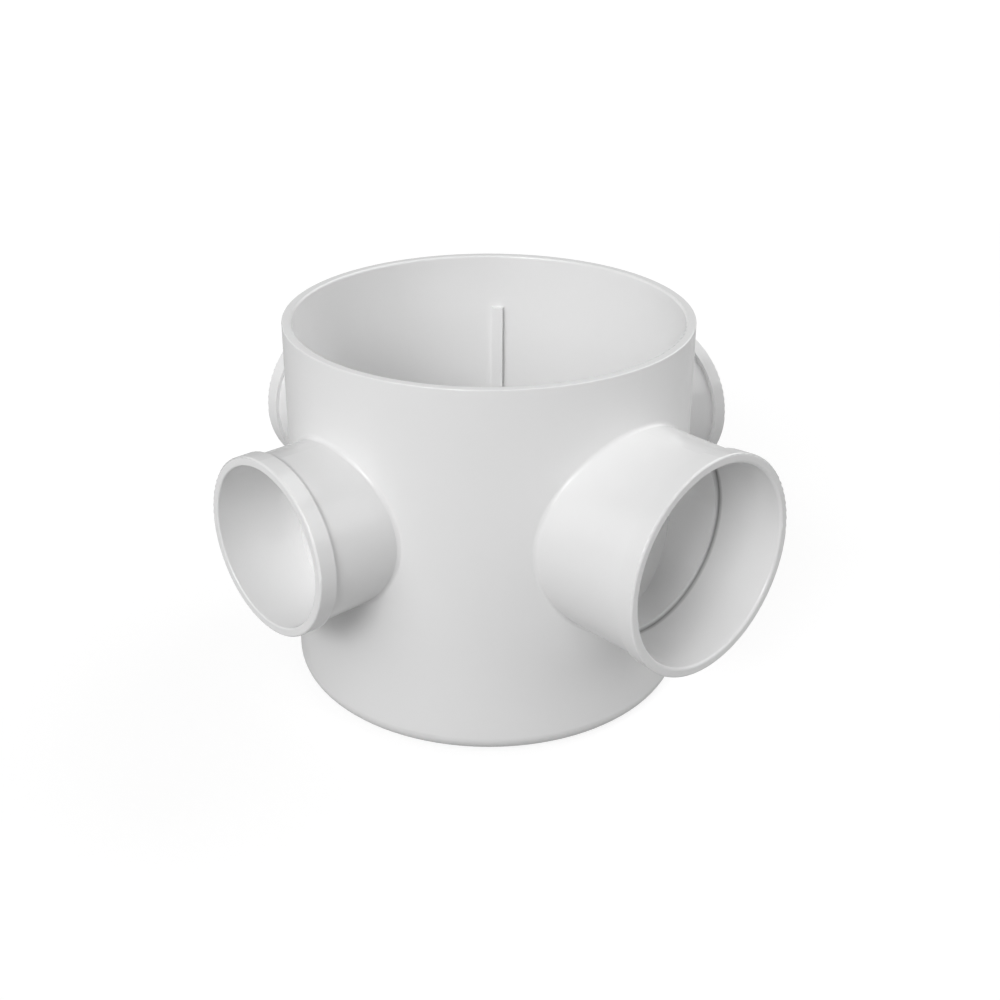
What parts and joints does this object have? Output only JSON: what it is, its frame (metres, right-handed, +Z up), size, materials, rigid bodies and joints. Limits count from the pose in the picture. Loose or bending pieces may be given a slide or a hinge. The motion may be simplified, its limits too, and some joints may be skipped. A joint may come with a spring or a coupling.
{
  "type": "floor drain body",
  "caption": "Round white plastic floor drain body: an open-topped cup with a wide side outlet socket and smaller closed inlet sockets for waste pipes.",
  "frame": {"origin": "centre of the underside of the floor, on the cup's axis", "axes": "+Z up along the cup's axis, +X along the outlet, so the inlets point along -Y, -X and +Y"},
  "size_m": [0.1485, 0.143, 0.098],
  "materials": {
    "white_pvc": "satin moulded PVC"
  },
  "bodies": {
    "root": {"drain_body": "white_pvc"}
  },
  "joints": []
}
